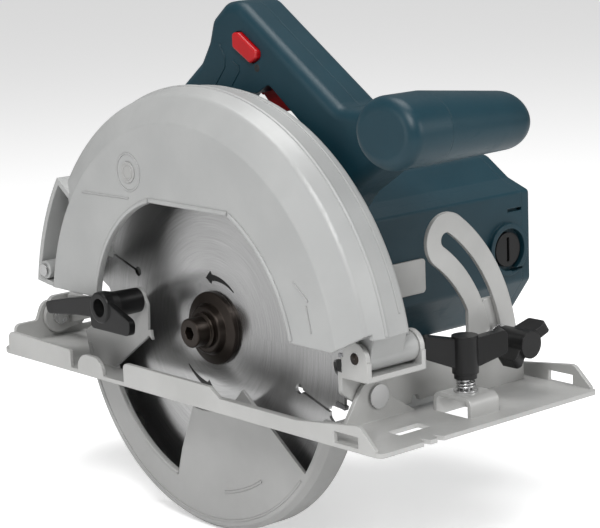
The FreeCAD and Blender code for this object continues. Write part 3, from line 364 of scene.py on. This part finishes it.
# %% Sheet, plated and cast metals
finishes = {
    "stamped_steel": finish("zinc_plated_sheet", (0.43, 0.43, 0.42), (0.49, 0.49, 0.48), (0.74, 0.74, 0.73),
                            0.36, metallic=0.25, grain=600, depth=0.00001, radius=0.0007, edge_highlight_amount=0.5),
    "silver_casting": finish("silver_paint_on_casting", (0.37, 0.375, 0.372), (0.41, 0.415, 0.41),
                             (0.66, 0.66, 0.65), 0.4, metallic=0.12, grain=1500, depth=0.000012,
                             radius=0.001, edge_highlight_amount=0.35),
    "guard_silver": finish("silver_paint_on_guard", (0.33, 0.33, 0.325), (0.37, 0.37, 0.365),
                           (0.62, 0.62, 0.61), 0.38, metallic=0.15, grain=1300, radius=0.0008, edge_highlight_amount=0.4),
    "grey_casting": finish("bare_die_casting", (0.40, 0.40, 0.39), (0.47, 0.47, 0.46), (0.7, 0.7, 0.7),
                           0.45, metallic=0.45, grain=800, depth=0.00004, radius=0.0008),
    "bright_steel": finish("bright_zinc_on_steel", (0.52, 0.52, 0.52), (0.6, 0.6, 0.6), (0.8, 0.8, 0.8),
                           0.24, metallic=0.95, grain=1800, depth=0.000006, radius=0.0004),
    "carbide": finish("brazed_carbide", (0.23, 0.23, 0.24), (0.3, 0.3, 0.31), (0.6, 0.6, 0.62), 0.3,
                      metallic=0.85, grain=2500, radius=0.00015),
    "black_flange": finish("black_oxide_on_steel", (0.021, 0.016, 0.013), (0.035, 0.027, 0.022),
                           (0.17, 0.14, 0.11), 0.3, metallic=0.75, grain=1500, depth=0.000008, edge_highlight_amount=0.5),
}
print(len(finishes), "metal finishes")

# %% [markdown]
# The casings and handles are one petrol-blue nylon with a fine spark-eroded grain. The knobs
# are glossier black nylon. The trigger and the lock button are red, so that a hand finds them.

# %% Moulded plastics
finishes.update({
    "teal_plastic": finish("petrol_blue_nylon", (0.0050, 0.030, 0.044), (0.0065, 0.036, 0.052),
                           (0.02, 0.07, 0.09), 0.38, grain=2600, depth=0.00004, radius=0.0009, edge_highlight_amount=0.5,
                           shine=0.32),
    "black_plastic": finish("black_nylon", (0.0060, 0.0060, 0.0062), (0.009, 0.009, 0.0094),
                            (0.035, 0.035, 0.036), 0.32, grain=2400, depth=0.00002, radius=0.0009,
                            shine=0.3),
    "black_rubber": finish("black_rubber", (0.012, 0.012, 0.012), (0.02, 0.02, 0.02), (0.05, 0.05, 0.05),
                           0.62, grain=1800, depth=0.00005, radius=0.0006),
    "red_plastic": finish("red_nylon", (0.40, 0.003, 0.006), (0.46, 0.004, 0.008), (0.62, 0.05, 0.05), 0.3,
                          grain=2600, depth=0.00002, radius=0.0006),
    "badge": finish("badge_enamel", (0.36, 0.36, 0.355), (0.42, 0.42, 0.41), (0.7, 0.7, 0.69), 0.35,
                    metallic=0.2, grain=1500, radius=0.0005),
    "carbon": finish("brush_carbon", (0.02, 0.02, 0.021), (0.03, 0.03, 0.031), (0.09, 0.09, 0.09), 0.5,
                     metallic=0.1, grain=2200, depth=0.00004),
    "brass_tube": finish("drawn_brass", (0.50, 0.34, 0.12), (0.56, 0.40, 0.16), (0.8, 0.62, 0.3), 0.28,
                         metallic=1.0, grain=1500, depth=0.000008, radius=0.0003),
})
print(len(finishes), "finishes so far")

# %% [markdown]
# The blade is ground on a turning table, so light fans out from its centre in two bright
# wedges. That look is anisotropy: the shader's highlight is stretched across the rings. The
# Tangent node gives the direction round X, and the rings group adds the scratches.

# %% Ground blade steel
SPINDLE = Vector((0.0, 0.0, 0.030))


def about_axis(tree, axis):
    """Object coordinates measured from a turning line along X."""
    centre = put(tree, "ShaderNodeMapping")
    centre.inputs["Location"].default_value = -axis
    tree.links.new(tree.nodes.new("ShaderNodeTexCoord").outputs["Object"], centre.inputs["Vector"])
    return centre.outputs["Vector"]


blade_steel = bpy.data.materials.new("ground_blade_steel")
blade_steel.use_nodes = True
blade_tree = blade_steel.node_tree
blade_shader = blade_tree.nodes["Principled BSDF"]
blade_shader.inputs["Metallic"].default_value = 1.0
blade_shader.inputs["Anisotropic"].default_value = 0.92
blade_shader.inputs["Roughness"].default_value = 0.27
blade_rings = place_group(blade_tree, rings_group, Density=3500.0)
blade_tree.links.new(about_axis(blade_tree, SPINDLE), blade_rings.inputs["Vector"])
blade_tree.links.new(blend_colours(blade_tree, blade_rings.outputs["Tint"], (0.40, 0.40, 0.40),
                                   (0.52, 0.52, 0.52)), blade_shader.inputs["Base Color"])
blade_bump = put(blade_tree, "ShaderNodeBump", Strength=1.0, Distance=0.0000012)
blade_tree.links.new(blade_rings.outputs["Height"], blade_bump.inputs["Height"])
blade_tree.links.new(blade_bump.outputs["Normal"], blade_shader.inputs["Normal"])
round_x = put(blade_tree, "ShaderNodeTangent", {"direction_type": "RADIAL", "axis": "X"})
blade_tree.links.new(round_x.outputs["Tangent"], blade_shader.inputs["Tangent"])
finishes["blade_steel"] = blade_steel
print(blade_steel.name)

# %% [markdown]
# Inside the motor are thin sheets pressed into stacks, and windings of lacquered wire. Both
# are stripes across the part, so a sine of the place along X draws them.


# %% Striped stacks and windings
def striped(name, pitch, colour, gap_colour, roughness, depth):
    material = bpy.data.materials.new(name)
    material.use_nodes = True
    tree = material.node_tree
    shader = tree.nodes["Principled BSDF"]
    shader.inputs["Metallic"].default_value = 0.9
    shader.inputs["Roughness"].default_value = roughness
    where = tree.nodes.new("ShaderNodeTexCoord").outputs["Object"]
    split = put(tree, "ShaderNodeSeparateXYZ")
    tree.links.new(where, split.inputs["Vector"])
    surface = place_group(tree, grain_group, Scale=700.0)
    tree.links.new(where, surface.inputs["Vector"])
    wave = calculate(tree, "SINE", calculate(tree, "MULTIPLY", split.outputs["X"], math.tau / pitch), 0.0)
    stripe = calculate(tree, "ADD", calculate(tree, "MULTIPLY", wave, 0.4), 0.5)
    uneven = calculate(tree, "MULTIPLY", stripe, surface.outputs["Tint"])
    tree.links.new(blend_colours(tree, uneven, gap_colour, colour), shader.inputs["Base Color"])
    bump = put(tree, "ShaderNodeBump", Strength=1.0, Distance=depth)
    tree.links.new(stripe, bump.inputs["Height"])
    tree.links.new(bump.outputs["Normal"], shader.inputs["Normal"])
    return material


finishes["lamination"] = striped("stacked_sheet", 0.0011, (0.36, 0.36, 0.37), (0.12, 0.12, 0.13),
                                 roughness=0.4, depth=0.0001)
finishes["copper"] = striped("copper_wire", 0.0009, (0.62, 0.27, 0.11), (0.2, 0.07, 0.03),
                             roughness=0.32, depth=0.0002)
print(len(finishes), "finishes in all")

# %% Give each CAD node its finish
slot_of = {part["node"]: part["material_slot"] for part in frame["record"]["subparts"]}
for node_name, thing in nodes.items():
    for place in thing.material_slots:
        place.material = finishes[slot_of[node_name]]
    if not thing.material_slots:
        thing.data.materials.append(finishes[slot_of[node_name]])
print("finishes on", len(nodes), "nodes")

# %% [markdown]
# ## Added pieces
# A helper keeps every new piece alike: the mesh is in place, its object sits at the origin,
# it takes the finish of a slot in the record, and it rides on its CAD body.


# %% Piece helper
SHARP_ABOVE = math.radians(35)


def add_piece(name, form, slot, body):
    bmesh.ops.remove_doubles(form, verts=form.verts, dist=1e-6)
    bmesh.ops.recalc_face_normals(form, faces=form.faces)
    mesh = bpy.data.meshes.new(name)
    form.to_mesh(mesh)
    form.free()
    mesh.shade_smooth()
    mesh.set_sharp_from_angle(angle=SHARP_ABOVE)
    mesh.materials.append(finishes[slot])
    piece = bpy.data.objects.new(name, mesh)
    bpy.context.scene.collection.objects.link(piece)
    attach(piece, body)
    print(name, len(mesh.polygons), "faces")


def closed_line(form, points):
    """Vertices joined in a ring by edges, the starting line for a spin or an extrusion."""
    verts = [form.verts.new(point) for point in points]
    edges = [form.edges.new(pair) for pair in zip(verts, verts[1:] + verts[:1])]
    return verts, edges


def arc_band(form, section, centre, start, sweep, steps):
    """Closed section of (x, radius) points swept round X through centre, angles from +Y."""
    along = Vector((0, math.cos(start), math.sin(start)))
    points = [Vector((x, centre[1], centre[2])) + along * radius for x, radius in section]
    verts, edges = closed_line(form, points)
    full = abs(sweep) > math.tau - 1e-6
    spun = bmesh.ops.spin(form, geom=verts + edges, cent=(0, centre[1], centre[2]), axis=(1, 0, 0),
                          angle=sweep, steps=steps, use_merge=full)
    if not full:
        last = [item for item in spun["geom_last"] if isinstance(item, bmesh.types.BMVert)]
        form.faces.new(verts)
        form.faces.new(last)


print("piece helpers ready")

# %% [markdown]
# The guard casting has raised beads that stiffen its rim. Each is a low half-round rib, so a
# small curved section is spun about the guard's centre over the angle where it runs.

# %% Rim beads on the upper guard
GUARD = Vector((0.0, -0.005, 0.023))
FACE = -0.0233
BEAD_STEPS = 6


def bead_section(x, radius, half_width, height, lean):
    """Half-round bead whose top faces away from the surface at an angle from +X."""
    out = Vector((math.cos(lean), math.sin(lean)))
    side = Vector((-math.sin(lean), math.cos(lean)))
    section = []
    for step in range(BEAD_STEPS + 1):
        turn = math.pi * step / BEAD_STEPS
        point = Vector((x, radius)) + side * (half_width * math.cos(turn)) + out * (height * math.sin(turn))
        section.append(tuple(point))
    return section


def round_bead(name, bead, centre, first, last, slot, body, steps=72):
    form = bmesh.new()
    arc_band(form, bead, centre, math.radians(first), math.radians(last - first), steps)
    add_piece(name, form, slot, body)


round_bead("guard_rim_bead", bead_section(-0.0074, 0.1217, 0.0011, 0.0009, math.radians(95)), GUARD,
           40, 169, "silver_casting", "saw_body")
round_bead("guard_rim_line", bead_section(0.0030, 0.1208, 0.0008, 0.0006, math.radians(84)), GUARD,
           8, 165, "silver_casting", "saw_body")

# %% [markdown]
# A cast edge that a hand can reach is rolled over. The lip round the guard's window is a
# bead that follows its two arcs and the straight edge above them.


# %% Lip round the window
LEFT = math.radians(180)
OUTWARD = (-1, 0, 0)
STRAIGHT_STEPS = 8


def straight_bead(name, first, last, half_width, height, out, slot, body):
    """Half-round bead from first to last whose top faces along out."""
    first, last, out = Vector(first), Vector(last), Vector(out).normalized()
    side = (last - first).cross(out).normalized()
    form = bmesh.new()
    points = []
    for step in range(STRAIGHT_STEPS + 1):
        turn = math.pi * step / STRAIGHT_STEPS
        points.append(first + side * (half_width * math.cos(turn)) + out * (height * math.sin(turn)))
    verts, _ = closed_line(form, points)
    end = form.faces.new(verts)
    grown = bmesh.ops.extrude_face_region(form, geom=[end])
    moved = [item for item in grown["geom"] if isinstance(item, bmesh.types.BMVert)]
    bmesh.ops.translate(form, verts=moved, vec=last - first)
    add_piece(name, form, slot, body)


round_bead("window_lip_rear", bead_section(FACE, 0.0645, 0.0012, 0.0009, LEFT), SPINDLE, 9, 74,
           "silver_casting", "saw_body")
round_bead("window_lip_front", bead_section(FACE, 0.0777, 0.0012, 0.0009, LEFT), GUARD, 118, 167,
           "silver_casting", "saw_body")
straight_bead("window_lip_top", (FACE, 0.0165, 0.0922), (FACE, -0.0405, 0.0922), 0.0012, 0.0009, OUTWARD,
              "silver_casting", "saw_body")

# %% [markdown]
# The cast face also carries a raised ring round the plain badge, a ledge behind it, and two
# short ridges that run down its front edge towards the base. They are all a few tenths of a millimetre
# high, which is what a die casting can show crisply.

# %% Badge ring, ledge and pointing ridges
BADGE_FACE = -0.0239
badge_centre = Vector((0.0, 0.0319, 0.1040))
round_bead("badge_ring", bead_section(FACE, 0.0088, 0.0006, 0.0004, LEFT), badge_centre, 0, 360,
           "silver_casting", "saw_body")
round_bead("badge_inner_ring", bead_section(BADGE_FACE, 0.0034, 0.0004, 0.0003, LEFT), badge_centre, 0, 360,
           "badge", "saw_body", 48)
straight_bead("guard_face_ledge", (FACE, 0.0700, 0.0908), (FACE, 0.0326, 0.0915), 0.0005, 0.0005,
              (-1, 0, 0.6), "silver_casting", "saw_body")
straight_bead("pointing_ridge_upper", (FACE, -0.0837, 0.0670), (FACE, -0.0931, 0.0597), 0.0005, 0.0005,
              OUTWARD, "silver_casting", "saw_body")
straight_bead("pointing_ridge_lower", (FACE, -0.0917, 0.0577), (FACE, -0.0943, 0.0458), 0.0005, 0.0005,
              OUTWARD, "silver_casting", "saw_body")

# %% [markdown]
# The lower guard is pressed from thinner metal. It has a rolled lip round the cut-out in its
# side, a short raised arc below it and a line just inside its rim, which all stiffen the sheet.

# %% Lip and arc on the lower guard
SWING_FACE = -0.0110
round_bead("lower_guard_lip", bead_section(SWING_FACE, 0.0762, 0.0011, 0.0008, LEFT), SPINDLE,
           -74, -25, "guard_silver", "swing_guard")
round_bead("lower_guard_arc", bead_section(SWING_FACE, 0.0766, 0.0008, 0.0005, LEFT), SPINDLE,
           -123, -101, "guard_silver", "swing_guard", 30)
round_bead("lower_guard_rim_line", bead_section(SWING_FACE, 0.0905, 0.0007, 0.0004, LEFT), SPINDLE,
           -140, -12, "guard_silver", "swing_guard")

# %% [markdown]
# Two dark arrows on the blade show which way it turns. They are printed, so each is a skin a
# few hundredths of a millimetre thick: a band that widens round the spindle, then a head.


# %% Turning arrows
ARROW_FACE = -0.00086
ARROW_STEPS = 20
INK = 0.00003
TAIL_HALF, NECK_HALF, HEAD_HALF = 0.0003, 0.0016, 0.0032
HEAD_SWEEP = 9 * 0.025


def turning_arrow(name, radius, first, last):
    """Crescent from its thin tail at angle first to its head at angle last, in degrees from +Y."""
    form = bmesh.new()
    for step in range(ARROW_STEPS + 1):
        share = step / ARROW_STEPS
        turn = math.radians(first + (last - first) * share)
        along = Vector((0, math.cos(turn), math.sin(turn)))
        half = HEAD_HALF if step == ARROW_STEPS else TAIL_HALF + (NECK_HALF - TAIL_HALF) * share
        pair = [SPINDLE + along * (radius + half), SPINDLE + along * (radius - half)]
        fresh = [form.verts.new((ARROW_FACE, point.y, point.z)) for point in pair]
        if step:
            form.faces.new((before[0], before[1], fresh[1], fresh[0]))
        before = fresh
    tip_turn = math.radians(last + math.copysign(HEAD_SWEEP / radius, last - first))
    tip = form.verts.new((ARROW_FACE, SPINDLE.y + radius * math.cos(tip_turn),
                          SPINDLE.z + radius * math.sin(tip_turn)))
    form.faces.new((before[0], before[1], tip))
    bmesh.ops.recalc_face_normals(form, faces=form.faces)
    bmesh.ops.solidify(form, geom=form.faces[:], thickness=INK)
    add_piece(name, form, "black_plastic", "spindle_group")


turning_arrow("upper_arrow", 0.0240, 128, 86)
turning_arrow("lower_arrow", 0.0305, -44, -76)

# %% [markdown]
# The grip's side has two shallow steps that stop the palm from sliding, and one small screw
# sits in a recess below the lock button. The recess lies in shade, so a black disc with a
# sloping rim is put in it as painted shade.

# %% Grip lines and the painted shade in the screw well
GRIP_SIDE = 0.0176


def grip_line(name, corners):
    for number, (first, last) in enumerate(zip(corners, corners[1:])):
        straight_bead(f"{name}_{number}", (GRIP_SIDE, *first), (GRIP_SIDE, *last), 0.0004, 0.0003,
                      OUTWARD, "teal_plastic", "saw_body")


grip_line("grip_line_rear", [(0.0103, 0.1616), (0.0067, 0.1557), (0.0071, 0.1506), (0.0150, 0.1414)])
grip_line("grip_line_front", [(0.0008, 0.1540), (-0.0034, 0.1517), (-0.0033, 0.1491), (0.0022, 0.1425)])
well_section = [(GRIP_SIDE - 0.0001, 0.0004), (GRIP_SIDE - 0.0001, 0.0018),
                (GRIP_SIDE + 0.0006, 0.0021), (GRIP_SIDE + 0.0006, 0.0004)]
well_centre = Vector((0.0, -0.0163, 0.1515))
# Painted shade: the black disc stands in for the shade inside the screw recess.
round_bead("grip_screw_well_shade_disc", well_section, well_centre, 0, 360, "black_rubber", "saw_body", 32)

# %% [markdown]
# The hinge pin's end is blackened, so it shows as a small dark disc in the cheek of the
# channel.

# %% Hinge pin's end
PIN_FACE = -0.01045
PIN_BACK = -0.01025
pin_end = [(PIN_FACE, 0.0002), (PIN_FACE, 0.0024), (PIN_BACK, 0.0028), (PIN_BACK, 0.0002)]
hinge_line = Vector((0.0, -0.107, 0.0343))
round_bead("hinge_pin_end", pin_end, hinge_line, 0, 360, "black_flange", "tilt_frame", 32)
